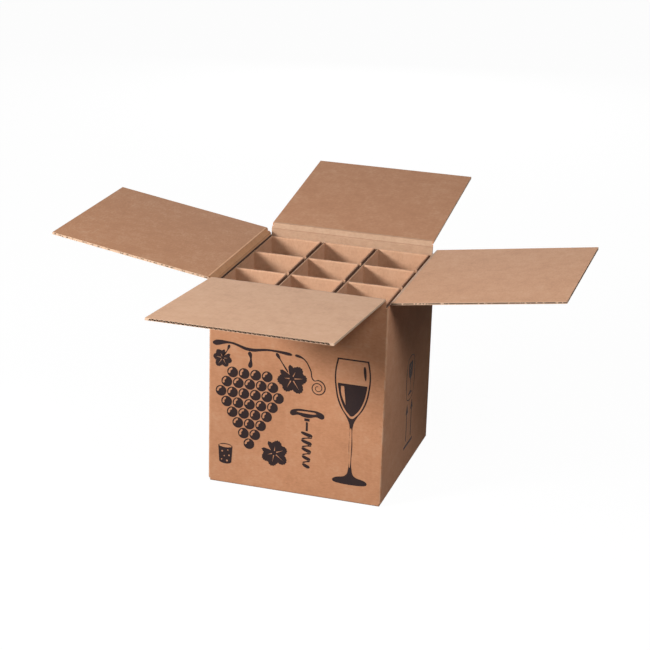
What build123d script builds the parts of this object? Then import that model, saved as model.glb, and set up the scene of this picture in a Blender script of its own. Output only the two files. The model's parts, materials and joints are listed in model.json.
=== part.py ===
"""Shipping carton for bottles, open, with full-length top flaps and three folded cell inserts.

Millimetres, +Z up. The origin is on the floor, at the middle of the closed bottom.
The printed front faces -Y, the back +Y, the left side -X and the right side +X.
"""

import math
import os

from build123d import *

os.makedirs("parts", exist_ok=True)

# Carton: outside plan, board and folds
carton_width = 320.0
carton_depth = 320.0
board = 4.0
fold_radius = 3.0
bottom_fold_radius = 2.5

# Creases of the top flaps: the side flaps close first, so their creases are the lowest
first_crease_height = 372.0
stack_gap = 0.3
closing_order = ["right", "left", "front", "back"]

# Top flaps: rest angles are above the horizontal, pointing away from the carton
rest_angle = {"front": 5.0, "back": 9.0, "left": 9.0, "right": 8.0}
slot_half_width = 5.0
slot_depth = 1.0
free_edge_gap = 20.0
side_flap_corner = 6.0
end_flap_corner = 2.0
hinge_offset = 0.15
crushed_board = 0.15
bevel_gap = 0.25

# Corrugation of the carton board, seen on the flaps' free edges
liner = 0.45
medium = 0.4
flute_pitch = 7.9
flute_crest = 1.5
flank_thickness = 0.52
flute_edge_margin = 3.0
open_flute_depth = 15.0

# Bottom: two layers of glued flaps that meet near the middle
bottom_seam = 1.0
outer_seam_shift = 3.0
bottom_slot_half_width = 3.4

# Glued joint of the blank, inside the back left corner
joint_tab_width = 35.0
joint_tab_end = 24.0
joint_tab_slant = 12.0
joint_edge_setback = 1.2

# Inserts: folded sleeves of thinner board, one for each row of cells from front to back
insert_names = ["insert_left", "insert_middle", "insert_right"]
insert_board = 3.0
insert_left_clearance = 2.0
insert_right_clearance = 4.0
insert_spacing = 4.5
insert_front_clearance = 3.5
insert_back_clearance = 0.5
insert_headroom = 0.5
insert_fold_radius = 2.0
insert_top_radius = 2.7
cells_per_insert = 3

# Hooks that lock each cross wall into the insert's right long wall
hook_depth = 40.0
hook_reach = 1.5
hook_slot_width = 6.0
hook_side_gap = 0.4

# Sizes that follow from the ones above
inside_width = carton_width - 2 * board
inside_depth = carton_depth - 2 * board
crease_height = {
    side: first_crease_height + level * (board + stack_gap)
    for level, side in enumerate(closing_order)
}
slot_level = first_crease_height - board - slot_depth
floor_top = 2 * board
UP = Vector(0, 0, 1)
outward = {
    "front": Vector(0, -1, 0),
    "back": Vector(0, 1, 0),
    "left": Vector(-1, 0, 0),
    "right": Vector(1, 0, 0),
}


def half_span(side):
    """Distance from the carton's middle to the outer face of a wall."""
    return carton_depth / 2 if side in ("front", "back") else carton_width / 2


def flap_width(side):
    """Width of a top flap along its crease, between the corner slots."""
    along = carton_width if side in ("front", "back") else carton_depth
    return along - 2 * slot_half_width


def flap_length(side):
    """Length of a top flap: it reaches almost to the opposite wall."""
    return 2 * half_span(side) - free_edge_gap


def wall_top_profile(side):
    """Part of a wall above the slots, ending in the bevel that the crease leaves inside."""
    across = outward[side]
    along = across.cross(UP)
    face = across * half_span(side)
    top = crease_height[side] - crushed_board - bevel_gap * math.sqrt(2)
    with BuildSketch(Plane(origin=face, x_dir=across, z_dir=along)) as profile:
        with BuildLine():
            Polyline(
                (0, slot_level),
                (0, top),
                (-board, top - board),
                (-board, slot_level),
                close=True,
            )
        make_face()
    return profile.sketch


def corner_of_joint():
    """Plan of the back left corner, where the back panel's raw edge covers the folded tab."""
    left = -carton_width / 2
    back = carton_depth / 2
    arc_middle = (1 - math.sqrt(0.5)) * fold_radius
    with BuildSketch() as notch:
        with BuildLine():
            Polyline(
                (left - board, back + board),
                (left - board, back - board - fold_radius),
                (left, back - board - fold_radius),
                (left + arc_middle, back - board - arc_middle),
                (left + joint_edge_setback, back - board),
                (left + joint_edge_setback, back + board),
                close=True,
            )
        make_face()
    return notch.sketch


# The carton's folded and glued blank: walls, bottom flaps and joint tab are one sheet
with BuildPart() as carton_body:
    # Walls up to the foot of the corner slots, folded round at the corners
    with BuildSketch(Plane.XY.offset(board)):
        RectangleRounded(carton_width, carton_depth, fold_radius)
        Rectangle(inside_width, inside_depth, mode=Mode.SUBTRACT)
    extrude(amount=slot_level - board)

    # Each wall rises between its two slots to its own crease
    for side in closing_order:
        extrude(wall_top_profile(side), amount=flap_width(side) / 2, both=True)

    # Inner bottom flaps, folded in from the left and right walls
    inner_length = (carton_width - bottom_seam) / 2
    with BuildSketch(Plane.XY.offset(board)):
        for sign in (-1, 1):
            with Locations((sign * (carton_width - inner_length) / 2, 0)):
                Rectangle(inner_length, carton_depth - 2 * bottom_slot_half_width)
    extrude(amount=board)

    # Outer bottom flaps, folded in from the front and back walls
    with BuildSketch():
        for sign in (-1, 1):
            outer_length = (carton_depth - bottom_seam) / 2 - sign * outer_seam_shift
            with Locations((0, sign * (carton_depth - outer_length) / 2)):
                Rectangle(carton_width - 2 * bottom_slot_half_width, outer_length)
    extrude(amount=board)

    # Round the outside of the four bottom folds
    lowest = carton_body.edges().filter_by(Axis.X).group_by(Axis.Z)[0].sort_by(Axis.Y)
    fillet([lowest[0], lowest[-1]], radius=bottom_fold_radius)
    side_folds = [
        edge
        for edge in carton_body.edges().filter_by(Axis.Y)
        if abs(abs(edge.center().X) - carton_width / 2) < board / 4
        and abs(edge.center().Z - board) < board / 4
    ]
    fillet(side_folds, radius=bottom_fold_radius)

    # Joint tab, folded from the left wall and glued inside the back wall
    tab_low = floor_top + joint_tab_end
    tab_high = slot_level - joint_tab_end
    tab_plane = Plane(
        origin=(-inside_width / 2, inside_depth / 2, 0),
        x_dir=(1, 0, 0),
        z_dir=(0, -1, 0),
    )
    with BuildSketch(tab_plane):
        with BuildLine():
            Polyline(
                (0, tab_low),
                (joint_tab_width, tab_low + joint_tab_slant),
                (joint_tab_width, tab_high - joint_tab_slant),
                (0, tab_high),
                close=True,
            )
        make_face()
    extrude(amount=board)

    # The back panel's raw edge stops short of the left wall's face
    extrude(corner_of_joint(), amount=crease_height["back"] + board, mode=Mode.SUBTRACT)

carton_body.part.label = "carton_body"
export_step(carton_body.part, "parts/carton_body.step")


def make_flap(side):
    """One top flap at its rest angle, with its bevelled crease and open corrugation."""
    name = "flap_" + side
    width = flap_width(side)
    length = flap_length(side)
    angle = math.radians(rest_angle[side])
    out = outward[side]
    reach = out * math.cos(angle) + UP * math.sin(angle)
    inner_normal = UP * math.cos(angle) - out * math.sin(angle)
    along = out.cross(UP)
    hinge = out * (half_span(side) + hinge_offset) + UP * crease_height[side]
    start = hinge_offset
    bevel = board - crushed_board
    corner = side_flap_corner if side in ("left", "right") else end_flap_corner

    with BuildPart() as flap:
        # Section along the flap: the inside is bevelled where the board folds
        with BuildSketch(Plane(origin=hinge, x_dir=reach, z_dir=along)):
            with BuildLine():
                Polyline(
                    (start, 0),
                    (length, 0),
                    (length, board),
                    (start + bevel, board),
                    (start, crushed_board),
                    close=True,
                )
            make_face()
        extrude(amount=width / 2, both=True)

        # Outline seen from above, rounded beside the slots
        with BuildSketch(Plane(origin=hinge, x_dir=along, z_dir=inner_normal)) as outline:
            with Locations((0, (start + length) / 2)):
                Rectangle(width, length - start)
            fillet(outline.vertices().group_by(Axis.Y)[0], radius=corner)
        extrude(amount=board, mode=Mode.INTERSECT)

        # Channels between the liners and the wave of the medium, open at the free edge
        clear = board - 2 * liner
        rise = clear - medium
        ratio = clear / rise
        foot = (flute_pitch / 2 - flank_thickness - ratio * flute_crest / 2) / (1 - ratio / 2)
        flank = math.degrees(math.atan2(rise, (foot - flute_crest) / 2))
        waves = int((width - 2 * flute_edge_margin) / flute_pitch)
        with BuildSketch(Plane(origin=hinge + reach * length, x_dir=along, z_dir=-reach)):
            with Locations((0, liner)):
                with GridLocations(flute_pitch, 0, waves, 1):
                    Trapezoid(foot, rise, flank, align=(Align.CENTER, Align.MIN))
            with Locations((0, board - liner)):
                with GridLocations(flute_pitch, 0, waves - 1, 1):
                    Trapezoid(foot, rise, flank, rotation=180, align=(Align.CENTER, Align.MIN))
        extrude(amount=open_flute_depth, mode=Mode.SUBTRACT)

    flap.part.label = name
    export_step(flap.part, "parts/" + name + ".step")


for side in closing_order:
    make_flap(side)


insert_count = len(insert_names)
insert_space = inside_width - insert_left_clearance - insert_right_clearance
insert_step = (insert_space + insert_spacing) / insert_count
insert_width = insert_step - insert_spacing
first_insert_x = (insert_width - inside_width) / 2 + insert_left_clearance
insert_depth = inside_depth - board - insert_front_clearance - insert_back_clearance
insert_middle_y = (insert_front_clearance - insert_back_clearance - board) / 2
insert_top = first_crease_height - board - insert_headroom
insert_height = insert_top - floor_top
double_board = 2 * insert_board
cell_depth = (insert_depth - (cells_per_insert + 1) * double_board) / cells_per_insert
cell_pitch = cell_depth + double_board


def make_insert(name, middle_x):
    """One sleeve: single long walls with cut tops, and double walls folded over at the top."""
    floor_plane = Plane(origin=(middle_x, insert_middle_y, floor_top))
    with BuildPart() as insert:
        # Long walls and outer plies of the ends, folded round at the corners
        with BuildSketch(floor_plane):
            RectangleRounded(insert_width, insert_depth, insert_fold_radius)
            Rectangle(
                insert_width - 2 * insert_board,
                insert_depth - 2 * double_board,
                mode=Mode.SUBTRACT,
            )
        extrude(amount=insert_height)

        # Round the folded tops of the two end walls
        end_tops = insert.edges().filter_by(Axis.X).group_by(Axis.Z)[-1]
        fillet(end_tops, radius=insert_top_radius)

        # Cross walls: two plies with a round fold on top
        wall_plane = Plane(
            origin=(middle_x, insert_middle_y, floor_top), x_dir=(0, 1, 0), z_dir=(1, 0, 0)
        )
        with BuildSketch(wall_plane) as folded:
            for index in range(1, cells_per_insert):
                place = (index - cells_per_insert / 2) * cell_pitch
                with Locations((place, insert_height / 2)):
                    Rectangle(double_board, insert_height)
            fillet(folded.vertices().group_by(Axis.Y)[-1], radius=insert_top_radius)
        extrude(amount=insert_width / 2 - insert_board / 2, both=True)

        # Slots in the right long wall, and the hooks of the cross walls that pass through
        right_face = middle_x + insert_width / 2
        for index in range(1, cells_per_insert):
            wall_y = insert_middle_y + (index - cells_per_insert / 2) * cell_pitch
            slot_low = wall_y - insert_board - hook_side_gap
            slot_high = wall_y + insert_board + hook_slot_width
            top_plane = Plane(origin=(right_face, 0, insert_top))
            with BuildSketch(top_plane):
                with Locations((-insert_board / 2, (slot_low + slot_high) / 2)):
                    Rectangle(insert_board, slot_high - slot_low)
            extrude(amount=-hook_depth, mode=Mode.SUBTRACT)
            with BuildSketch(top_plane.offset(-insert_board)):
                with Locations(((hook_reach - insert_board) / 2, wall_y)):
                    Rectangle(insert_board + hook_reach, double_board)
            extrude(amount=insert_board - hook_depth)

    insert.part.label = name
    export_step(insert.part, "parts/" + name + ".step")


for index, name in enumerate(insert_names):
    make_insert(name, first_insert_x + index * insert_step)

print("insert", round(insert_width, 2), "x", round(insert_depth, 2), "x", round(insert_height, 2))
print("cell", round(insert_width - 2 * insert_board, 2), "x", round(cell_depth, 2))
print("creases", {side: round(height, 2) for side, height in crease_height.items()})
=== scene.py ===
# %% [markdown]
# # A shipping carton for bottles, opened out
#
# The solids of the carton come from the frame: the folded carton, its four top flaps and
# the three inserts that divide it. This lesson dresses them. It gives the board its kraft
# paper look, carries the paper over the creases of the flaps, prints a design in dark ink
# on the front and handling signs on the side, and sets up a plain studio.
#
# Everything is in metres, +Z is up, and the printed front faces -Y.

# %% Load the frame
import json
import math

import bmesh
import bpy
from mathutils import Matrix, Vector


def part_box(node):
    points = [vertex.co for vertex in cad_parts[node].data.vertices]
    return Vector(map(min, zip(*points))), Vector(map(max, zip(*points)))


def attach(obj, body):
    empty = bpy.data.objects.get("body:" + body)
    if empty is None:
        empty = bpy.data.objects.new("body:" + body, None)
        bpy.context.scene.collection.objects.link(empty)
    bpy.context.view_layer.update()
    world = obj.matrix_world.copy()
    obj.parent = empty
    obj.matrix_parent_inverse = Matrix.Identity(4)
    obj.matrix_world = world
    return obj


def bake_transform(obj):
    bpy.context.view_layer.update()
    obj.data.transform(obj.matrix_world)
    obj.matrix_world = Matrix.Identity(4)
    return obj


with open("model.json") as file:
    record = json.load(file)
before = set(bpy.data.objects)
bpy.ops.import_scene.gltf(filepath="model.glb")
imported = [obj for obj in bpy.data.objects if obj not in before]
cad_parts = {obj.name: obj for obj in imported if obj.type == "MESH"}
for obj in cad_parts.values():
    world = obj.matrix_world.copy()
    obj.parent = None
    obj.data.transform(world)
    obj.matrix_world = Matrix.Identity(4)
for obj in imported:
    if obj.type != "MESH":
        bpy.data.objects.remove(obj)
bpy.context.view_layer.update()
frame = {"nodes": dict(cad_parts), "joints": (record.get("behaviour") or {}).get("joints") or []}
nodes = frame["nodes"]
print("nodes:", ", ".join(sorted(nodes)))

# %% [markdown]
# ## Sizes that the frame gives
#
# Each flap turns about a crease. The joint in the frame says where the crease is and how
# far the flap can close, and from that follows how steep the flap stands at rest: a closed
# flap lies level, half a turn from level the other way. How thick the boards are and how far
# apart their flutes lie isn't in the frame, so it is written down here.

# %% Board sizes and the four creases
MM = 0.001
BOARD = 4.0 * MM
INSERT_BOARD = 3.0 * MM
LINER = 0.45 * MM
FLUTE_PITCH = 7.9 * MM
INSERT_FLUTE_PITCH = 6.4 * MM
UP = Vector((0, 0, 1))

creases = {}
for joint in frame["joints"]:
    side = joint["child"].removeprefix("flap_")
    tilt = math.radians(180.0 - joint["range_deg"][1])
    axis = Vector(joint["axis"])
    out = UP.cross(axis)
    creases[side] = {
        "child": joint["child"],
        "hinge": Vector(joint["pos_m"]),
        "out": out,
        "along": axis,
        "reach": out * math.cos(tilt) + UP * math.sin(tilt),
        "inner": UP * math.cos(tilt) - out * math.sin(tilt),
    }
    print(side, "flap stands", round(math.degrees(tilt), 1), "degrees above level")

carton_low, carton_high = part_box("carton_body")
half_width = carton_high.x
half_depth = carton_high.y
print("carton", [round(v, 4) for v in (carton_high - carton_low)])


# %% [markdown]
# ## Shader arithmetic
#
# A finish is a recipe of small sums on numbers that change over the surface: how far a
# point is from an edge, how dark a fibre is. Wiring each sum by hand is long and hard to
# read. The class below wraps one output socket, so that `1 - mask` adds the Math node by
# itself. Every other kind of node comes from the recipe's one `node` method.
#
# A Mix node has one set of sockets for each kind of value, so those for colours are picked by
# their number. Uncoated paper hardly shines, and its fibres give it a faint soft sheen.
# Both are the same all over, so they are plain settings of the shader and no part of a sum.

# %% A number that varies over a surface, and a recipe for one material
PAPER_GLOSS = 0.03
PAPER_SHEEN = 0.18
SHEEN_SPREAD = 0.35
MIX_FIRST = 6
MIX_SECOND = 7
MIX_RESULT = 2


class Number:
    """One output socket of a node tree, with arithmetic."""

    def __init__(self, recipe, socket):
        self.recipe = recipe
        self.socket = socket

    def math(self, operation, *others):
        return self.recipe.sum(operation, self, *others)

    def __add__(self, other):
        return self.math("ADD", other)

    def __sub__(self, other):
        return self.math("SUBTRACT", other)

    def __mul__(self, other):
        return self.math("MULTIPLY", other)

    def __rsub__(self, other):
        return self.recipe.sum("SUBTRACT", other, self)

    def __gt__(self, other):
        return self.math("GREATER_THAN", other)

    def __lt__(self, other):
        return self.math("LESS_THAN", other)

    def __abs__(self):
        return self.math("ABSOLUTE")

    __radd__ = __add__
    __rmul__ = __mul__

    def sine(self):
        return self.math("SINE")

    def clamp(self):
        return self.math("MAXIMUM", 0.0).math("MINIMUM", 1.0)

    def swing(self):
        """A noise runs from 0 to 1. This is how far it is from its middle, up or down."""
        return self - 0.5

    def rise(self, start, end):
        """0 before start and 1 after end, smooth between them."""
        return self.recipe.node(
            "ShaderNodeMapRange",
            {"interpolation_type": "SMOOTHSTEP"},
            {"Value": self, "From Min": start, "From Max": end},
        )


class Recipe:
    """A material that is built up from sums and nodes."""

    def __init__(self, name):
        self.material = bpy.data.materials.new(name)
        self.material.use_nodes = True
        self.tree = self.material.node_tree
        self.shader = self.tree.nodes["Principled BSDF"]
        coordinates = self.tree.nodes.new("ShaderNodeTexCoord")
        self.point = Number(self, coordinates.outputs["Object"])
        self.normal = Number(self, coordinates.outputs["Normal"])

    def node(self, kind, settings, inputs, output=0):
        made = self.tree.nodes.new(kind)
        for key, value in settings.items():
            setattr(made, key, value)
        for key, value in inputs.items():
            self.feed(made.inputs[key], value)
        return Number(self, made.outputs[output])

    def feed(self, socket, value):
        if isinstance(value, Number):
            self.tree.links.new(value.socket, socket)
        else:
            socket.default_value = value

    def sum(self, operation, *values):
        return self.node("ShaderNodeMath", {"operation": operation}, dict(enumerate(values)))

    def xyz(self, vector):
        split = self.tree.nodes.new("ShaderNodeSeparateXYZ")
        self.feed(split.inputs[0], vector)
        return [Number(self, split.outputs[i]) for i in range(3)]

    def vectors(self, operation, socket, vector, output):
        """Arithmetic between a vector that varies and one that is the same everywhere."""
        inputs = {0: socket, 1: tuple(vector)}
        return self.node("ShaderNodeVectorMath", {"operation": operation}, inputs, output)

    def along(self, direction, start):
        """Distance of each point from start, along a direction, in metres."""
        shifted = self.vectors("SUBTRACT", self.point, start, "Vector")
        return self.vectors("DOT_PRODUCT", shifted, direction, "Value")

    def facing(self, direction):
        """1 where the surface faces along direction, 0 where it is edge on, -1 turned away."""
        return self.vectors("DOT_PRODUCT", self.normal, direction, "Value")

    def join(self, x, y, z):
        return self.node("ShaderNodeCombineXYZ", {}, {"X": x, "Y": y, "Z": z})

    def noise(self, vector, scale, detail, roughness=0.5):
        inputs = {"Vector": vector, "Scale": scale, "Detail": detail, "Roughness": roughness}
        return self.node("ShaderNodeTexNoise", {}, inputs)

    def blend(self, amount, first, second):
        """first where amount is 0 and second where it is 1. Both are colours."""
        made = self.tree.nodes.new("ShaderNodeMix")
        made.data_type = "RGBA"
        self.feed(made.inputs[0], amount)
        self.feed(made.inputs[MIX_FIRST], first)
        self.feed(made.inputs[MIX_SECOND], second)
        return Number(self, made.outputs[MIX_RESULT])

    def bump(self, height, distance):
        inputs = {"Height": height, "Distance": distance, "Strength": 1.0}
        return self.node("ShaderNodeBump", {}, inputs)

    def finish(self, colour, roughness, normal):
        self.shader.inputs["Specular IOR Level"].default_value = PAPER_GLOSS
        self.shader.inputs["Sheen Weight"].default_value = PAPER_SHEEN
        self.shader.inputs["Sheen Roughness"].default_value = SHEEN_SPREAD
        self.feed(self.shader.inputs["Base Color"], colour)
        self.feed(self.shader.inputs["Roughness"], roughness)
        self.feed(self.shader.inputs["Normal"], normal)
        return self.material


def shade(red, green, blue):
    """A colour as a paint chart gives it, 0 to 255, turned into what a shader reads.

    The numbers are those of the common screen curve, straight near black and a power above.
    """
    values = [channel / 255 for channel in (red, green, blue)]
    return [v / 12.92 if v < 0.04045 else ((v + 0.055) / 1.055) ** 2.4 for v in values] + [1.0]


print("shader arithmetic is ready")

# %% [markdown]
# ## Kraft board
#
# Corrugated board is two flat papers with a wave between them. The papers are brown kraft:
# a little cloudy from afar, grainy and streaked with fibres from near by, and flecked with a
# few dark fibres. Fibres lie across the flutes. Where the paper sinks between the crests of
# the wave, very faint stripes show at the pitch of the flutes: a slight bump, and faint
# painted shade in the colour.
#
# The real paper could be scanned, but a scan only fits one size of sheet. Noise that is
# stretched along the fibres gives the same look on any face, so one function makes it from
# two coordinates of the piece: across the flutes and along them. The scales are in waves to
# the metre, a smaller stretch makes longer fibres, and a share says how much of the tone an
# unevenness gives. Each noise is cut at a depth of its own, so that no two look alike.

# %% The finish of kraft board
KRAFT_OUTER = shade(205, 146, 109)
KRAFT_INNER = shade(192, 157, 130)
# The left crease's inner paper, painted brighter as painted light
LEFT_CREASE_PAINTED_LIGHT = shade(218, 166, 125)
KRAFT_INSERT = shade(204, 160, 129)
# Each flap's inner paper tone is painted light: it stands for the light and sheen it catches
FLAP_PAPER_PAINTED_LIGHT = {
    "front": shade(206, 160, 125),
    "right": shade(204, 153, 117),
    "left": shade(186, 132, 94),
    "back": shade(190, 139, 106),
}
# Painted shade for the outer sides of the inserts' long walls, in the gaps between them
INSERT_OUTSIDE_SHADE = shade(112, 78, 60)
KRAFT_SHADOW = shade(146, 98, 70)
KRAFT_PALE = shade(228, 192, 162)
# Painted shade, for hollows and narrow gaps where little light gets in
HOLLOW_SHADE = shade(58, 36, 25)
CUT_PAPER = shade(229, 198, 170)

CLOUD_SCALE = 14.0
PATCH_SCALE = 60.0
STREAK_SCALE = 700.0
FLECK_SCALE = 380.0
GRAIN_SCALE = 260.0
STREAK_STRETCH = 0.22
FLECK_STRETCH = 0.35
GRAIN_STRETCH = 0.6
CLOUD_SHARE = 0.50
PATCH_SHARE = 0.50
STREAK_SHARE = 0.40
FLECK_SHARE = 0.30
FLECK_RISE = (0.68, 0.80)
GRAIN_SHARE = 0.45
CREST_SHADE_SHARE = 0.010
PAPER_ROUGHNESS = 0.72
ROUGHNESS_SWING = 0.2
PAPER_RELIEF = 0.20 * MM
STREAK_RELIEF = 0.35
PATCH_RELIEF = 0.5
CREST_RELIEF = 0.12


def kraft(recipe, across, lengthways, paper, pitch=FLUTE_PITCH):
    """Colour, roughness and height of kraft paper that is glued to a wave."""
    cloud = recipe.noise(recipe.join(across, lengthways, 0.0), CLOUD_SCALE, detail=4.0)
    patch = recipe.noise(recipe.join(across, lengthways, 0.1), PATCH_SCALE, detail=4.0)
    streaks = recipe.join(across * STREAK_STRETCH, lengthways, 0.2)
    streak = recipe.noise(streaks, STREAK_SCALE, detail=3.0, roughness=0.6)
    flecks = recipe.join(across * FLECK_STRETCH, lengthways, 0.3)
    fleck = recipe.noise(flecks, FLECK_SCALE, detail=1.0)
    crest = (across * (2 * math.pi / pitch)).sine()
    grains = recipe.join(across * GRAIN_STRETCH, lengthways, 0.4)
    grain = recipe.noise(grains, GRAIN_SCALE, detail=2.0)
    tone = cloud.swing() * CLOUD_SHARE + patch.swing() * PATCH_SHARE
    tone = tone + streak.swing() * STREAK_SHARE
    # crest gives faint painted shade and light in stripes at the pitch of the flutes
    tone = tone + grain.swing() * GRAIN_SHARE + crest * CREST_SHADE_SHARE
    darker = recipe.blend((tone * -1.0).clamp(), paper, KRAFT_SHADOW)
    lighter = recipe.blend(tone.clamp(), darker, KRAFT_PALE)
    colour = recipe.blend(fleck.rise(*FLECK_RISE) * FLECK_SHARE, lighter, KRAFT_SHADOW)
    roughness = PAPER_ROUGHNESS + streak.swing() * ROUGHNESS_SWING
    height = streak * STREAK_RELIEF + patch * PATCH_RELIEF + crest * CREST_RELIEF
    return colour, roughness, height


def dress(piece, recipe, colour, roughness, height):
    """Makes the finished recipe the one material of a piece."""
    normal = recipe.bump(height, PAPER_RELIEF)
    piece.data.materials.clear()
    piece.data.materials.append(recipe.finish(colour, roughness, normal))
    print("finished", piece.name)


print("kraft board is ready")

# %% [markdown]
# ## The carton's own board
#
# The flutes of a carton stand upright in its walls, because they carry the load when
# cartons are stacked. So the stripes are counted sideways: along X on the front and back,
# along Y on the left and right. The inside paper is a duller brown than the outside one.
# The folds are rubbed, and the paper along the upright corners is lighter: partly that
# wear, and partly a painted highlight on the rounded folds. The paper is a little darker
# along the foot. Beside the inserts the left and right inner walls only show through gaps
# of a few millimetres, where hardly any light gets in, so they are painted dark there.

# %% Finish the carton
SIDEWAYS = Vector((1, 0, 0))
# A face is turned to a direction where facing gives more than this
SQUARELY = 0.7
SKIN = 2.5 * MM
RUB_AND_HIGHLIGHT_ALL = 1.5 * MM
RUB_AND_HIGHLIGHT_REACH = 4.0 * MM
RUB_AND_HIGHLIGHT_SCALE = 160.0
RUB_AND_HIGHLIGHT_STRETCH = 0.4
RUB_AND_HIGHLIGHT_RISE = (0.35, 0.62)
RUB_AND_HIGHLIGHT_SHARE = 0.40
FOOT_REACH = 3.5 * MM
FOOT_DARKENING_SHARE = 0.35
GAP_SHADE = 0.85

insert_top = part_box("insert_left")[1].z


def finish_carton(node):
    """Kraft board with corners rubbed and lit by a painted highlight, and a darker foot."""
    recipe = Recipe("carton board")
    x, y, z = recipe.xyz(recipe.point)
    on_side = abs(recipe.facing(SIDEWAYS)) > SQUARELY
    level = abs(recipe.facing(UP)) > SQUARELY
    across = x * (1.0 - on_side) + y * on_side
    lengthways = z * (1.0 - level) + y * level
    inside = (abs(x) < half_width - SKIN) * (abs(y) < half_depth - SKIN) * (z > BOARD / 2)
    paper = recipe.blend(inside, KRAFT_OUTER, KRAFT_INNER)
    colour, roughness, height = kraft(recipe, across, lengthways, paper)
    corner = (half_width - abs(x)).math("MAXIMUM", half_depth - abs(y))
    rub_and_highlight_noise = recipe.noise(recipe.join(x, y, z * RUB_AND_HIGHLIGHT_STRETCH), RUB_AND_HIGHLIGHT_SCALE, detail=3.0)
    # Lighter along the upright corners: rubbed paper, and a painted highlight on the folds
    rub_and_highlight = (1.0 - corner.rise(RUB_AND_HIGHLIGHT_ALL, RUB_AND_HIGHLIGHT_REACH)) * rub_and_highlight_noise.rise(*RUB_AND_HIGHLIGHT_RISE)
    colour = recipe.blend(rub_and_highlight * RUB_AND_HIGHLIGHT_SHARE, colour, KRAFT_PALE)
    # Darker along the foot
    foot = (1.0 - z.rise(0.0, FOOT_REACH)) * (1.0 - level)
    colour = recipe.blend(foot * FOOT_DARKENING_SHARE, colour, KRAFT_SHADOW)
    beside_insert = inside * on_side * (z < insert_top)
    colour = recipe.blend(beside_insert * GAP_SHADE, colour, HOLLOW_SHADE)
    dress(node, recipe, colour, roughness, height)


finish_carton(nodes["carton_body"])

# %% [markdown]
# ## The flaps
#
# A flap stands at a slant, so its own directions are used: along the crease, outwards, and
# through the board. They are worked out by dot products with the directions that the crease
# gave. The inner paper of each flap has its own tone, which is painted light: it stands for
# how much light and sheen that flap catches, so the front and right flaps are the palest.
#
# The cut edges show raw paper, paler than the faces. The free edge has its real channels in
# the solid, and their walls are darkened, as little light gets in. On the two cut sides the
# flutes run lengthways, so no wave shows there: only ragged paper and, here and there, a
# flute that the knife tore open, with painted shade in its hollow. How many are torn differs
# from flap to flap.

# %% Finish the four flaps
TORN_FROM = {"front": 0.70, "right": 0.35, "left": 0.49, "back": 0.62}
TORN_SPAN = 0.10
TORN_SCALE = 260.0
TORN_STRETCH = 0.5
TORN_SHADE = 0.8
CUT_SHARE = 0.75
CHANNEL_SHADE = 0.7
FLUTE_CORE = 0.7 * MM
FLUTE_RIM = 1.5 * MM
FLAP_LENGTH = 300.0 * MM
CHANNEL_START = FLAP_LENGTH - 16.0 * MM
CHANNEL_HALF = BOARD / 2 - LINER * 0.6


def finish_flap(side, crease):
    """Kraft board whose cut edges are pale and torn, with painted shade in their hollows."""
    node = nodes[crease["child"]]
    recipe = Recipe(crease["child"] + " board")
    across = recipe.along(crease["along"], crease["hinge"])
    outwards = recipe.along(crease["reach"], crease["hinge"])
    depth = recipe.along(crease["inner"], crease["hinge"])
    paper = recipe.blend(depth > BOARD / 2, KRAFT_OUTER, FLAP_PAPER_PAINTED_LIGHT[side])
    colour, roughness, height = kraft(recipe, across, outwards, paper)
    along_edge = recipe.join(outwards, depth * TORN_STRETCH, across)
    torn = recipe.noise(along_edge, TORN_SCALE, detail=3.0)
    middle = abs(depth - BOARD / 2)
    opened = torn.rise(TORN_FROM[side], TORN_FROM[side] + TORN_SPAN)
    hollow = (1.0 - middle.rise(FLUTE_CORE, FLUTE_RIM)) * opened
    cut_side = abs(recipe.facing(crease["along"])) > SQUARELY
    cut_end = recipe.facing(crease["reach"]) > SQUARELY
    colour = recipe.blend((cut_side + cut_end) * CUT_SHARE, colour, CUT_PAPER)
    # Painted shade inside flutes that the knife tore open
    colour = recipe.blend(cut_side * hollow * TORN_SHADE, colour, HOLLOW_SHADE)
    channel = (outwards > CHANNEL_START) * (middle < CHANNEL_HALF) * (1.0 - cut_end)
    colour = recipe.blend(channel * (1.0 - cut_side) * CHANNEL_SHADE, colour, HOLLOW_SHADE)
    dress(node, recipe, colour, roughness, height + cut_side * torn)


for side, crease in creases.items():
    finish_flap(side, crease)

# %% [markdown]
# ## The inserts
#
# The sleeves are of thinner board with a finer flute that lies level, so that the sleeve
# folds sharply round its cells. Faint level stripes show on its walls. The double walls are
# folded over at the top, so paper shows there. The long walls were cut, so their tops show
# two thin papers and the dull medium between them, with painted shade where its flutes lie
# open. On their outer side the long walls are painted dark, as painted shade, so the gaps
# between the inserts look nearly black.

# %% Finish the three inserts
HOOK_REACH = 1.5 * MM
TOP_BAND = 0.5 * MM
RAGGED_SCALE = 500.0
RAGGED_REACH = 1.2 * MM
RAGGED_RISE = (0.42, 0.60)
MEDIUM_START = INSERT_BOARD / 2 - LINER
MEDIUM_BLUR = 0.5 * MM
MEDIUM_AND_FLUTE_SHADE_SHARE = 0.6


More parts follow.
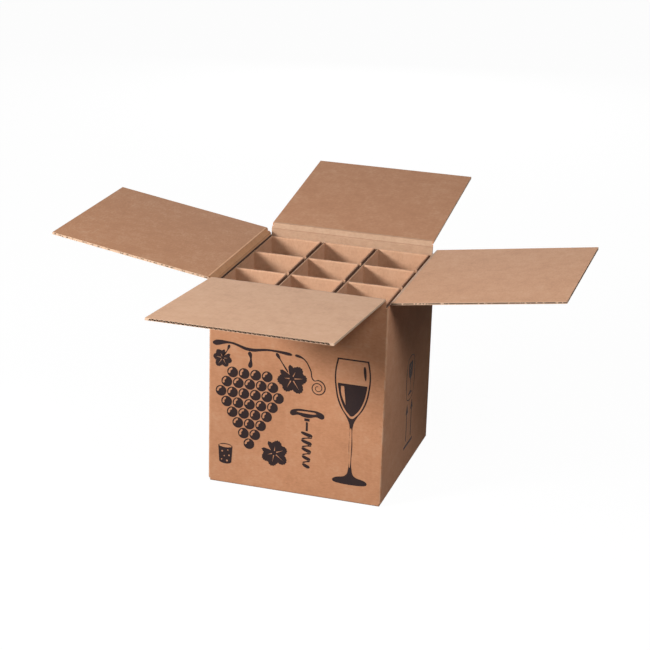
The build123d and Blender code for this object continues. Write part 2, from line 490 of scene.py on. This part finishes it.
def finish_insert(node):
    """Thin kraft board with level flutes and ragged tops."""
    recipe = Recipe(node.name + " board")
    low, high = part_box(node.name)
    x, y, z = recipe.xyz(recipe.point)
    on_long_wall = abs(recipe.facing(SIDEWAYS)) > SQUARELY
    along_wall = x * (1.0 - on_long_wall) + y * on_long_wall
    left_depth = x - low.x
    right_depth = (high.x - HOOK_REACH) - x
    depth = left_depth.math("MINIMUM", right_depth)
    # The outer sides of the long walls are painted dark, as painted shade in the gaps
    outside = (depth < INSERT_BOARD / 2) * on_long_wall
    paper = recipe.blend(outside, KRAFT_INSERT, INSERT_OUTSIDE_SHADE)
    colour, roughness, height = kraft(recipe, z, along_wall, paper, INSERT_FLUTE_PITCH)
    ragged = recipe.noise(recipe.point, RAGGED_SCALE, detail=3.0)
    off_middle = abs(depth - INSERT_BOARD / 2) + ragged.swing() * RAGGED_REACH
    open_cut = 1.0 - off_middle.rise(MEDIUM_START - MEDIUM_BLUR, MEDIUM_START)
    looks_up = recipe.facing(UP) > SQUARELY
    top = looks_up * (depth < INSERT_BOARD) * (z > high.z - TOP_BAND)
    # The medium on the cut tops, with painted shade where its flutes lie open
    medium_and_flute_shade = recipe.blend(ragged.rise(*RAGGED_RISE), KRAFT_SHADOW, KRAFT_INSERT)
    colour = recipe.blend(top * open_cut * MEDIUM_AND_FLUTE_SHADE_SHARE, colour, medium_and_flute_shade)
    dress(node, recipe, colour, roughness, height + top * ragged)


for name in ("insert_left", "insert_middle", "insert_right"):
    finish_insert(nodes[name])

# %% [markdown]
# ## Paper over the creases
#
# A flap and its wall are one sheet: at the crease the board is crushed, and the two papers
# run on round the fold. The solids only meet there in a hairline, so light would shine
# through. Two thin strips close it: one inside, over the bevels of the wall and the flap,
# and one outside, from the face of the wall to the face of the flap.
#
# Each strip starts as a narrow plane on the wall. Its upper edge is drawn out, step by step,
# along the section of the fold, and Solidify gives it the thickness of the paper. Where the
# bevels begin the creasing wheel pressed the paper in, and two faint lines of painted shade
# mark it.
# The inner paper of the left crease is painted brighter than the rest, as painted light.

# %% The section of a fold
HINGE_GAP = 0.15 * MM
CRUSHED = 0.15 * MM
BEVEL_GAP = 0.25 * MM
PAPER_CLEARANCE = 0.012 * MM
INNER_PAPER = 0.08 * MM
OUTER_PAPER = 0.04 * MM
INNER_LAP = 3.0 * MM
OUTER_LAP = 5.0 * MM


def beside(points, normals):
    """The same path, lifted off the board along the normals of its steps."""
    lifted = []
    for index, point in enumerate(points):
        before = normals[max(index - 1, 0)]
        after = normals[min(index, len(normals) - 1)]
        mitre = (before + after) / (1.0 + before.dot(after))
        lifted.append(point + mitre * PAPER_CLEARANCE)
    return lifted


def wall_edge(crease):
    """Where the outer face of the wall ends, under the crease."""
    drop = CRUSHED + BEVEL_GAP * math.sqrt(2)
    return crease["hinge"] - crease["out"] * HINGE_GAP - UP * drop


def inner_fold(crease):
    """From the inner face of the wall, over both bevels, to the inner face of the flap."""
    out, reach, inner = crease["out"], crease["reach"], crease["inner"]
    edge = wall_edge(crease)
    foot = edge - (out + UP) * BOARD
    flap_start = crease["hinge"] + reach * HINGE_GAP + inner * CRUSHED
    flap_top = crease["hinge"] + (reach + inner) * BOARD
    lap = flap_top + reach * INNER_LAP
    points = [foot - UP * INNER_LAP, foot, edge, flap_start, flap_top, lap]
    wall_slope = (UP - out).normalized()
    flap_slope = (inner - reach).normalized()
    between = (wall_slope + flap_slope).normalized()
    return beside(points, [-out, wall_slope, between, flap_slope, inner])


def outer_fold(crease):
    """From the outer face of the wall to the outer face of the flap."""
    out, reach, inner = crease["out"], crease["reach"], crease["inner"]
    edge = wall_edge(crease)
    flap_start = crease["hinge"] + reach * HINGE_GAP
    points = [edge - UP * OUTER_LAP, edge, flap_start, flap_start + reach * OUTER_LAP]
    return beside(points, [out, (out - UP).normalized(), -inner])


closed = BEVEL_GAP - 2 * (INNER_PAPER + PAPER_CLEARANCE)
print("with the papers in, closed bevels leave", round(closed / MM, 3), "mm")

# %% A strip that is drawn out along a section
SIDE_CORNER = 6.0 * MM
END_CORNER = 2.0 * MM


def drawn_strip(name, crease, path, thickness, grow):
    """The paper grows to the left of the path where grow is 1, to its right where it is -1.

    Only the upper edge of the plane, whose middle lies at the second point, is drawn out.
    """
    along, first, second = crease["along"], path[0], path[1]
    low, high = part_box(crease["child"])
    corner = SIDE_CORNER if abs(crease["out"].x) > SQUARELY else END_CORNER
    width = abs((high - low).dot(along)) - 2 * corner
    step = second - first
    upright = step.normalized()
    turned = Matrix((along, upright, along.cross(upright))).transposed()
    bpy.ops.object.select_all(action="DESELECT")
    bpy.ops.mesh.primitive_plane_add(
        size=1.0, location=(first + second) / 2, rotation=turned.to_euler()
    )
    strip = bpy.context.object
    strip.name = name
    strip.scale = (width, step.length, 1.0)
    bpy.ops.object.transform_apply(location=True, rotation=True, scale=True)
    bpy.ops.object.mode_set(mode="EDIT")
    bpy.ops.mesh.select_all(action="DESELECT")
    mesh = bmesh.from_edit_mesh(strip.data)
    for edge in mesh.edges:
        middle = (edge.verts[0].co + edge.verts[1].co) / 2
        edge.select_set((middle - second).length < 0.1 * step.length)
    bmesh.update_edit_mesh(strip.data)
    for start, end in zip(path[1:], path[2:]):
        bpy.ops.mesh.extrude_region_move(TRANSFORM_OT_translate={"value": end - start})
    bpy.ops.object.mode_set(mode="OBJECT")
    paper = strip.modifiers.new("paper", "SOLIDIFY")
    paper.thickness = thickness
    paper.offset = grow
    bpy.ops.object.modifier_apply(modifier=paper.name)
    bpy.ops.object.mode_set(mode="EDIT")
    bpy.ops.mesh.select_all(action="SELECT")
    bpy.ops.mesh.normals_make_consistent(inside=False)
    bpy.ops.object.mode_set(mode="OBJECT")
    return strip


print("the strips end", SIDE_CORNER, "and", END_CORNER, "m before the flap does")

# %% Lay the papers over the four creases
TURN_SPAN = 0.3 * MM
PRESSED_AT = BOARD * math.sqrt(2)
PRESSED_CORE = 0.2 * MM
PRESSED_REACH = 1.0 * MM
PRESSED_SHADE_SHARE = 0.45


def finish_crease(strip, crease, paper):
    """Kraft paper whose stripes run on from the wall and the flap."""
    recipe = Recipe(strip.name)
    across = recipe.along(crease["along"], crease["hinge"])
    lengthways = recipe.along((crease["out"] + UP).normalized(), crease["hinge"])
    colour, roughness, height = kraft(recipe, across, lengthways, paper)
    # Two faint lines of painted shade where the creasing wheel pressed the paper in
    off_line = abs(abs(lengthways) - PRESSED_AT)
    pressed_line_shade = 1.0 - off_line.rise(PRESSED_CORE, PRESSED_REACH)
    colour = recipe.blend(pressed_line_shade * PRESSED_SHADE_SHARE, colour, KRAFT_SHADOW)
    dress(strip, recipe, colour, roughness, height)


for side, crease in creases.items():
    bend = (crease["out"] + UP).normalized() * TURN_SPAN
    # The left crease's inner paper is painted brighter, as painted light
    lining = LEFT_CREASE_PAINTED_LIGHT if side == "left" else KRAFT_INNER
    papers = (
        ("inner", inner_fold(crease), INNER_PAPER, 1.0, lining),
        ("outer", outer_fold(crease), OUTER_PAPER, -1.0, KRAFT_OUTER),
    )
    for layer, path, thickness, grow, colour in papers:
        strip = drawn_strip(f"crease_{layer}_{side}", crease, path, thickness, grow)
        finish_crease(strip, crease, colour)
        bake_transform(strip)
        print(strip.name, "faces", len(strip.data.polygons))

# %% [markdown]
# ## Print
#
# Cartons are printed with one rubber plate and one dark ink, so the design is flat shapes
# with clear edges and bare board for the lights. A picture or a procedural pattern would
# blur at the edges. Each motif is drawn here as closed outlines, filled like letters: an
# outline inside another is a hole, and one inside a hole is ink again. The filled drawing is
# turned into a mesh, a film of ink that lies on the board.
#
# All outlines are in millimetres, sideways and up, as on the printer's plate.

# %% Outlines for the drawings
INK_FILM = 0.04 * MM
INK_GAP = 0.02 * MM
STEPS_TO_A_KNOT = 8


def outline(drawing, points, sharp=()):
    """Adds a closed outline. It is smooth except at the points whose numbers are in sharp."""
    spline = drawing.splines.new("BEZIER")
    spline.bezier_points.add(len(points) - 1)
    for index, (sideways, up) in enumerate(points):
        knot = spline.bezier_points[index]
        knot.co = (sideways * MM, up * MM, 0.0)
        knot.handle_left_type = "VECTOR" if index in sharp else "AUTO"
        knot.handle_right_type = knot.handle_left_type
    spline.use_cyclic_u = True


def at(middle, radius, degrees):
    """The point at a radius and an angle round middle."""
    angle = math.radians(degrees)
    return middle[0] + radius * math.cos(angle), middle[1] + radius * math.sin(angle)


def ring(middle, radius):
    """Eight knots make a circle, because the line between them is smooth."""
    return [at(middle, radius, 45 * step) for step in range(8)]


def mirrored(half, middle):
    """An outline from its right half, which runs from the top down."""
    left = [(-sideways, up) for sideways, up in reversed(half) if sideways > 0]
    return [(middle + sideways, up) for sideways, up in half + left]


def brush(path, widths):
    """A stroke along path, with its own width at each point."""
    left, right = [], []
    for index, point in enumerate(path):
        before = Vector(path[max(index - 1, 0)])
        after = Vector(path[min(index + 1, len(path) - 1)])
        sideways = (after - before).normalized().orthogonal() * widths[index] / 2
        left.append(tuple(Vector(point) + sideways))
        right.append(tuple(Vector(point) - sideways))
    return left + right[::-1]


def new_drawing(name):
    """An empty flat drawing, which fills its outlines with a film of ink."""
    drawing = bpy.data.curves.new(name, "CURVE")
    drawing.dimensions = "2D"
    drawing.fill_mode = "BOTH"
    drawing.resolution_u = STEPS_TO_A_KNOT
    drawing.extrude = INK_FILM / 2
    return drawing


print("ink film", round(INK_FILM / MM, 3), "mm thick")

# %% Ink and how it is laid on a wall
INK = shade(58, 47, 47)
SPECK_SCALE = 900.0
SPECK_SHARE = 0.22
SPECK_RISE = (0.60, 0.74)
COVER_SCALE = 60.0
COVER_SHARE = 0.12
COVER_STRETCH = 0.3
INK_ROUGHNESS = 0.62
INK_RELIEF = 0.05 * MM


def ink_finish():
    """Dark ink that shows a little of the paper through, in specks and along the fibres."""
    recipe = Recipe("ink")
    x, y, z = recipe.xyz(recipe.point)
    speck = recipe.noise(recipe.point, SPECK_SCALE, detail=2.0)
    fibres = recipe.join(x + y, z * COVER_STRETCH, 0.5)
    cover = recipe.noise(fibres, COVER_SCALE, detail=3.0)
    thin = speck.rise(*SPECK_RISE) * SPECK_SHARE + cover.swing() * COVER_SHARE
    colour = recipe.blend(thin.clamp(), INK, KRAFT_SHADOW)
    roughness = INK_ROUGHNESS + cover.swing() * ROUGHNESS_SWING
    return recipe.finish(colour, roughness, recipe.bump(speck, INK_RELIEF))


INK_MATERIAL = ink_finish()


def lay_print(drawing, wall):
    """Fills the drawing, stands it up against the front or the right wall and inks it."""
    piece = bpy.data.objects.new("print_" + drawing.name, drawing)
    bpy.context.scene.collection.objects.link(piece)
    bpy.ops.object.select_all(action="DESELECT")
    bpy.context.view_layer.objects.active = piece
    piece.select_set(True)
    bpy.ops.object.convert(target="MESH")
    off = INK_GAP + INK_FILM / 2
    if wall == "front":
        piece.rotation_euler = (math.pi / 2, 0.0, 0.0)
        piece.location = (0.0, -half_depth - off, 0.0)
    else:
        piece.rotation_euler = (math.pi / 2, 0.0, math.pi / 2)
        piece.location = (half_width + off, 0.0, 0.0)
    bpy.ops.object.transform_apply(location=True, rotation=True, scale=False)
    bpy.ops.object.mode_set(mode="EDIT")
    bpy.ops.mesh.select_all(action="SELECT")
    bpy.ops.mesh.remove_doubles(threshold=INK_FILM / 10)
    bpy.ops.mesh.normals_make_consistent(inside=False)
    bpy.ops.object.mode_set(mode="OBJECT")
    piece.data.materials.clear()
    piece.data.materials.append(INK_MATERIAL)
    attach(piece, "carton")
    print(piece.name, "faces", len(piece.data.polygons))


# %% [markdown]
# ## The front: a bunch of grapes
#
# A grape is a disc of ink with a bare crescent, where light falls on it. A crescent is two
# arcs, out along the rim and back nearer to the middle, and is tilted a little differently on
# each grape. The rows of the bunch grow wider and then narrow to one grape, each row set
# between the grapes above.

# %% Grapes
GRAPE_ROWS = [4, 5, 6, 5, 4, 3, 2, 1]
GRAPE_RADIUS = 10.0
GRAPE_STEP = 21.2
GRAPE_DROP = 18.8
BUNCH_TOP = (-84.0, 214.0)
CRESCENT_TILT = 10.8
RIM_ARC = (7.6, 98, 34)
INSIDE_ARC = (4.4, 196, -30)


def arc(middle, measures, tilt):
    """Four knots round middle, by a radius, the first angle and the step to the next."""
    radius, start, step = measures
    return [at(middle, radius, start + tilt + step * knot) for knot in range(4)]


drawing = new_drawing("grapes")
for row, count in enumerate(GRAPE_ROWS):
    for place in range(count):
        tilt = CRESCENT_TILT * math.sin(2.4 * row + 1.7 * place)
        middle = (
            BUNCH_TOP[0] + (place - (count - 1) / 2) * GRAPE_STEP,
            BUNCH_TOP[1] - row * GRAPE_DROP,
        )
        outline(drawing, ring(middle, GRAPE_RADIUS))
        outline(drawing, arc(middle, RIM_ARC, tilt) + arc(middle, INSIDE_ARC, tilt))
lay_print(drawing, "front")

# %% [markdown]
# ## The front: vine leaves, branch and tendril
#
# A vine leaf has five lobes round the end of its stalk. Its edge is worked out as a radius
# that changes with the angle: each lobe lifts it, the stalk's notch pulls it in, and small
# teeth are added. The veins are bare wedges.

# %% Leaves
LOBES = ((0, 1.0), (62, 0.86), (-62, 0.86), (122, 0.62), (-122, 0.62))
LOBE_NARROWNESS = 2.1
HEART = 0.42
NOTCH_DEPTH = 0.72
NOTCH_WIDTH = 15.0
TOOTH = 0.045
EDGE_STEP = 5
VEIN_START = 0.16
VEIN_END = 0.80
VEIN_WIDTH = 0.035


def lobe_lift(turn):
    """How far the lobes lift the edge of the leaf at this angle, from 0 to 1."""
    lift = 0.0
    for lobe, length in LOBES:
        slope = math.cos(math.radians(LOBE_NARROWNESS * (turn - lobe)))
        lift = max(lift, length * max(0.0, slope))
    return lift


def leaf(drawing, middle, size, tip):
    """A five-lobed leaf whose tip points in the direction tip, in degrees."""
    edge = []
    for step in range(360 // EDGE_STEP):
        turn = EDGE_STEP * step - 180
        lobed = HEART + (1.0 - HEART) * lobe_lift(turn)
        notch = 1.0 - NOTCH_DEPTH * math.exp(-(((180 - abs(turn)) / NOTCH_WIDTH) ** 2))
        tooth = TOOTH if step % 2 else 0.0
        edge.append(at(middle, size * (lobed * notch + tooth), tip + turn))
    outline(drawing, edge, range(len(edge)))
    for lobe, length in LOBES:
        root = at(middle, VEIN_START * size, tip + lobe)
        end = at(middle, VEIN_END * length * size, tip + lobe)
        left = at(root, VEIN_WIDTH * size, tip + lobe + 90)
        right = at(root, VEIN_WIDTH * size, tip + lobe - 90)
        outline(drawing, [left, end, right], range(3))


drawing = new_drawing("leaves")
leaf(drawing, (-7.0, 217.0), size=29.0, tip=-56.0)
leaf(drawing, (-134.5, 238.0), size=18.5, tip=236.0)
leaf(drawing, (-37.0, 72.0), size=27.0, tip=-38.0)
lay_print(drawing, "front")

# %% Branch and tendril
TENDRIL_MIDDLE = (40.0, 206.0)
TENDRIL_RADIUS = 15.0
TENDRIL_TURNS = 2.1
TENDRIL_START = 118.0
TENDRIL_SHRINK = 0.82
TENDRIL_STEPS = 25
STROKE_START = 2.4
STROKE_LOSS = 1.2

drawing = new_drawing("branch")
bough = [(-152.0, 264.0), (-120.0, 268.0), (-86.0, 260.0), (-48.0, 264.0), (-8.0, 261.0)]
outline(drawing, brush(bough, [4.6, 3.8, 6.0, 3.6, 2.6]))
outline(drawing, brush([(-85.0, 255.0), (-82.5, 243.0), (-84.0, 227.0)], [5.0, 3.4, 4.6]))
outline(drawing, brush([(-36.0, 260.0), (-28.0, 248.0), (-14.5, 228.0)], [3.0, 2.0, 1.4]))
outline(drawing, brush([(-122.0, 263.5), (-126.0, 253.0), (-134.0, 241.5)], [2.6, 1.8, 1.2]))
coil = []
for step in range(TENDRIL_STEPS + 1):
    share = step / TENDRIL_STEPS
    radius = TENDRIL_RADIUS * (1.0 - TENDRIL_SHRINK * share)
    coil.append(at(TENDRIL_MIDDLE, radius, TENDRIL_START - 360 * TENDRIL_TURNS * share))
stroke = [(-2.0, 261.5), (14.0, 256.0), (26.0, 238.0)] + coil
widths = [STROKE_START - STROKE_LOSS * index / len(stroke) for index in range(len(stroke))]
outline(drawing, brush(stroke, widths))
lay_print(drawing, "front")

# %% [markdown]
# ## The front: a corkscrew, a cork and a glass
#
# The worm of the corkscrew is drawn as strokes that lean over: thick where it passes in
# front and thin where it passes behind. The cork is a dark drum with a bare face on top and
# bare pores. The glass is four outlines inside each other: the shape, the bare bowl, the
# wine, and a light in the wine.

# %% Corkscrew and cork
WORM_TOP = 121.0
WORM_PITCH = 15.0
WORM_TURNS = 5
WORM_REACH = 10.5
WORM_TAPER = 0.09
TOOL_MIDDLE = 22.0
CORK_MIDDLE = -128.0

drawing = new_drawing("corkscrew")
handle = [
    (0.0, 163.0), (23.0, 161.5), (31.0, 156.0),
    (29.5, 150.0), (16.0, 151.5), (5.0, 148.5),
]
outline(drawing, mirrored(handle, TOOL_MIDDLE))
outline(drawing, brush([(TOOL_MIDDLE - 19, 157.8), (TOOL_MIDDLE + 16, 157.8)], [0.8, 1.8]))
outline(drawing, mirrored([(4.8, 146.8), (4.8, 141.6)], TOOL_MIDDLE), range(4))
outline(drawing, mirrored([(2.0, 140.0), (2.0, WORM_TOP + 2)], TOOL_MIDDLE), range(4))
for turn in range(WORM_TURNS):
    reach = WORM_REACH * (1.0 - WORM_TAPER * turn)
    top = WORM_TOP - WORM_PITCH * turn
    left = (TOOL_MIDDLE - reach, top - 1.0)
    centre = (TOOL_MIDDLE, top - 4.4)
    right = (TOOL_MIDDLE + reach, top - 6.8)
    outline(drawing, brush([left, centre, right], [1.6, 6.2, 2.2]))
    if turn < WORM_TURNS - 1:
        behind = [
            (right[0] - 0.6, right[1] - 2.6),
            (TOOL_MIDDLE, top - 11.2),
            (left[0] + 1.6, top - 13.6),
        ]
        outline(drawing, brush(behind, [1.3, 2.1, 1.2]))
lay_print(drawing, "front")

drawing = new_drawing("cork")
body = [(0.0, 76.5), (8.0, 75.4), (13.5, 71.8), (11.5, 41.0), (7.0, 38.4), (0.0, 37.4)]
outline(drawing, mirrored(body, CORK_MIDDLE), (2, 3, 7, 8))
face = [(0.0, 74.8), (7.0, 74.0), (11.4, 71.8), (7.0, 69.6), (0.0, 68.8)]
outline(drawing, mirrored(face, CORK_MIDDLE))
pores = (
    (-6.0, 61.0, 1.6), (4.5, 64.0, 1.1), (7.0, 54.0, 1.5),
    (-2.0, 52.0, 1.2), (-7.0, 45.0, 1.2), (3.0, 43.5, 1.7),
)
for sideways, up, size in pores:
    outline(drawing, ring((CORK_MIDDLE + sideways, up), size))
lay_print(drawing, "front")

# %% Glass
GLASS_MIDDLE = 102.0

drawing = new_drawing("glass")
shape = [
    (28.0, 268.0), (32.0, 242.0), (31.0, 217.0), (23.0, 183.0), (8.5, 159.0), (3.6, 147.0),
    (3.2, 106.0), (3.4, 62.0), (7.5, 51.0), (29.0, 43.0), (31.5, 39.3), (29.0, 36.0),
]
outline(drawing, mirrored(shape, GLASS_MIDDLE), (0, 23))
bowl = [
    (25.6, 265.4), (29.4, 242.0), (28.4, 218.0),
    (20.6, 185.0), (7.4, 163.5), (0.0, 158.5),
]
outline(drawing, mirrored(bowl, GLASS_MIDDLE), (0, 10))
wine = [(26.4, 222.0), (26.0, 217.0), (18.4, 186.5), (6.2, 167.0), (0.0, 162.8)]
outline(drawing, mirrored(wine, GLASS_MIDDLE), (0, 8))
light = [(-20.8, 217.0), (-19.6, 203.0), (-11.4, 182.0), (-13.0, 198.0), (-15.0, 217.0)]
outline(drawing, [(GLASS_MIDDLE + sideways, up) for sideways, up in light], (0, 2, 4))
rim_light = [(GLASS_MIDDLE + 20.4, 257.0), (GLASS_MIDDLE + 23.0, 232.0)]
outline(drawing, brush(rim_light, [2.0, 1.1]))
stem_light = [(GLASS_MIDDLE - 0.6, 140.0), (GLASS_MIDDLE - 0.6, 66.0)]
outline(drawing, brush(stem_light, [1.7, 0.9]))
lay_print(drawing, "front")

# %% [markdown]
# ## The right side: handling signs
#
# Two signs that any carton may carry: a glass in a rounded frame, for fragile goods, and two
# arrows over a bar, for the way up. They are printed in the same run as the front, so they are
# drawn in the same way and only stood up against the other wall. The frame is two outlines,
# one inside the other, which leaves a thin line of ink.

# %% Signs
SIGN_MIDDLE = 15.0

drawing = new_drawing("fragile_sign")
for grow in (0.0, -1.8):
    border = [(17.0, 217 + grow), (24 + grow, 209), (24 + grow, 147), (17.0, 139 - grow)]
    outline(drawing, mirrored(border, SIGN_MIDDLE))
goblet = [
    (13.0, 208.0), (13.5, 196.0), (10.0, 183.0), (2.2, 175.5), (1.5, 170.0), (1.5, 155.0),
    (4.0, 151.5), (11.0, 150.0), (11.0, 147.0),
]
outline(drawing, mirrored(goblet, SIGN_MIDDLE), (0, 7, 8, 9, 10, 17))
crack = [
    (3.0, 204.5), (-1.0, 196.0), (2.5, 192.0), (-2.0, 183.0),
    (0.5, 192.5), (-4.0, 196.5), (0.0, 204.5),
]
outline(drawing, [(SIGN_MIDDLE + sideways, up) for sideways, up in crack], range(7))
lay_print(drawing, "right")

drawing = new_drawing("way_up_sign")
arrow = [(0.0, 132.0), (8.0, 113.0), (2.0, 113.0), (2.0, 59.0)]
for sideways in (-16.0, 16.0):
    outline(drawing, mirrored(arrow, SIGN_MIDDLE + sideways), range(7))
outline(drawing, mirrored([(30.0, 52.0), (30.0, 47.0)], SIGN_MIDDLE), range(4))
lay_print(drawing, "right")

# %% [markdown]
# ## Studio
#
# The floor and the air are white to the camera, as on a product picture. White by light alone
# would need so much of it that the board would bleach, so the camera sees the floor mostly as
# a glow, with a share of the real matt floor that keeps the carton's shadow. The rest of the
# scene only meets the matt floor, which is dark enough to leave the shade under the flaps deep.
#
# The key lamp stands near the carton at the front left. It lights the print and the flaps, and
# being near it lets them fall off in tone towards the back. It is low enough to throw slanting
# shadows in the cells. Two lamps high on the right fill the flaps and the left walls of the
# cells. A small low one on the right lights that side up to the shadow of its own flap, and a
# weak one behind keeps the back from going black when the carton is looked at from there.

# %% Floor
FLOOR_SIZE = 24.0
FLOOR_GREY = (0.13, 0.13, 0.13, 1.0)
FLOOR_GLOW = 0.72
GLOW_STRENGTH = 1.35
WHITE = (1.0, 1.0, 1.0, 1.0)


def seen(tree):
    """1 where it is seen, straight, in gloss or through glass, and 0 where it only lights."""
    ray = tree.nodes.new("ShaderNodeLightPath")
    socket = ray.outputs["Is Camera Ray"]
    for kind in ("Is Glossy Ray", "Is Transmission Ray"):
        either = tree.nodes.new("ShaderNodeMath")
        either.operation = "MAXIMUM"
        tree.links.new(socket, either.inputs[0])
        tree.links.new(ray.outputs[kind], either.inputs[1])
        socket = either.outputs[0]
    return socket


bpy.ops.object.select_all(action="DESELECT")
bpy.ops.mesh.primitive_plane_add(size=FLOOR_SIZE, location=(0, 0, 0))
floor = bpy.context.object
floor.name = "studio_floor"
floor_paint = bpy.data.materials.new("studio floor")
floor_paint.use_nodes = True
tree = floor_paint.node_tree
matt = tree.nodes["Principled BSDF"]
matt.inputs["Base Color"].default_value = FLOOR_GREY
matt.inputs["Roughness"].default_value = 1.0
matt.inputs["Specular IOR Level"].default_value = 0.0
glow = tree.nodes.new("ShaderNodeEmission")
glow.inputs["Color"].default_value = WHITE
glow.inputs["Strength"].default_value = GLOW_STRENGTH
share = tree.nodes.new("ShaderNodeMath")
share.operation = "MULTIPLY"
share.inputs[1].default_value = FLOOR_GLOW
mixed = tree.nodes.new("ShaderNodeMixShader")
tree.links.new(seen(tree), share.inputs[0])
tree.links.new(share.outputs[0], mixed.inputs[0])
tree.links.new(matt.outputs[0], mixed.inputs[1])
tree.links.new(glow.outputs[0], mixed.inputs[2])
tree.links.new(mixed.outputs[0], tree.nodes["Material Output"].inputs["Surface"])
floor.data.materials.append(floor_paint)
print("floor", FLOOR_SIZE, "m across")

# %% Air
AIR_LIGHT = 0.015

world = bpy.data.worlds.new("studio air")
bpy.context.scene.world = world
world.use_nodes = True
tree = world.node_tree
air = tree.nodes["Background"]
air.inputs["Color"].default_value = WHITE
strength = tree.nodes.new("ShaderNodeMapRange")
strength.inputs["To Min"].default_value = AIR_LIGHT
strength.inputs["To Max"].default_value = 1.0
tree.links.new(seen(tree), strength.inputs["Value"])
tree.links.new(strength.outputs[0], air.inputs["Strength"])
print("air light", AIR_LIGHT)


# %% Lamps
def soft_lamp(name, place, target, size, power):
    """A square soft box that looks from place to target."""
    data = bpy.data.lights.new(name, "AREA")
    data.shape = "SQUARE"
    data.size = size
    data.energy = power
    lamp = bpy.data.objects.new(name, data)
    lamp.location = place
    lamp.rotation_mode = "QUATERNION"
    lamp.rotation_quaternion = (Vector(target) - Vector(place)).to_track_quat("-Z", "Y")
    bpy.context.scene.collection.objects.link(lamp)
    print(name, power, "W at", place)


MIDDLE_OF_CARTON = (0.0, 0.0, 0.3)
RIGHT_WALL = (0.16, 0.0, 0.22)

soft_lamp("key_lamp", (-1.6, -1.7, 1.35), MIDDLE_OF_CARTON, size=0.6, power=75.5)
soft_lamp("right_lamp", (1.9, -1.0, 2.8), MIDDLE_OF_CARTON, size=1.0, power=10.5)
soft_lamp("fill_lamp", (1.5, -1.5, 2.3), MIDDLE_OF_CARTON, size=0.8, power=22.0)
soft_lamp("side_lamp", (1.4, -0.6, 1.05), RIGHT_WALL, size=0.35, power=2.6)
soft_lamp("back_lamp", (-0.8, 3.2, 0.9), MIDDLE_OF_CARTON, size=0.8, power=26.0)

# %% [markdown]
# ## Camera
#
# The camera stands in front, a little to the right, and looks down at the open mouth. Its
# place is kept as the picture's own measures: the turn round the carton, the height angle,
# the distance, and the point that it looks at.

# %% Camera
AZIMUTH = math.radians(16.8)
ELEVATION = math.radians(21.4)
DISTANCE = 3.313
ROLL = math.radians(1.65)
TURN_ABOUT = Vector((0.0, 0.0, 0.190))
LOOK_AT = Vector((0.0014, 0.0, 0.262))
FOCAL_PIXELS = 1832.5
PICTURE_PIXELS = 650.0
SENSOR = 36.0
SEES_AS_FAR_AS = 60.0

back = Vector((
    math.sin(AZIMUTH) * math.cos(ELEVATION),
    -math.cos(AZIMUTH) * math.cos(ELEVATION),
    math.sin(ELEVATION),
))
camera_data = bpy.data.cameras.new("camera")
camera_data.sensor_width = SENSOR
camera_data.lens = FOCAL_PIXELS / PICTURE_PIXELS * SENSOR
camera_data.clip_end = SEES_AS_FAR_AS
camera = bpy.data.objects.new("camera", camera_data)
camera.location = TURN_ABOUT + back * DISTANCE
turn = (LOOK_AT - camera.location).to_track_quat("-Z", "Y").to_matrix()
camera.rotation_mode = "QUATERNION"
camera.rotation_quaternion = (turn @ Matrix.Rotation(ROLL, 3, "Z")).to_quaternion()
bpy.context.scene.collection.objects.link(camera)
bpy.context.scene.camera = camera
print("camera at", [round(v, 3) for v in camera.location], "lens", round(camera_data.lens, 1))

# %% [markdown]
# ## Finish
#
# The picture shows the colours as they are worked out, with no film curve over them.

# %% Finish
bpy.context.scene.view_settings.view_transform = "Standard"
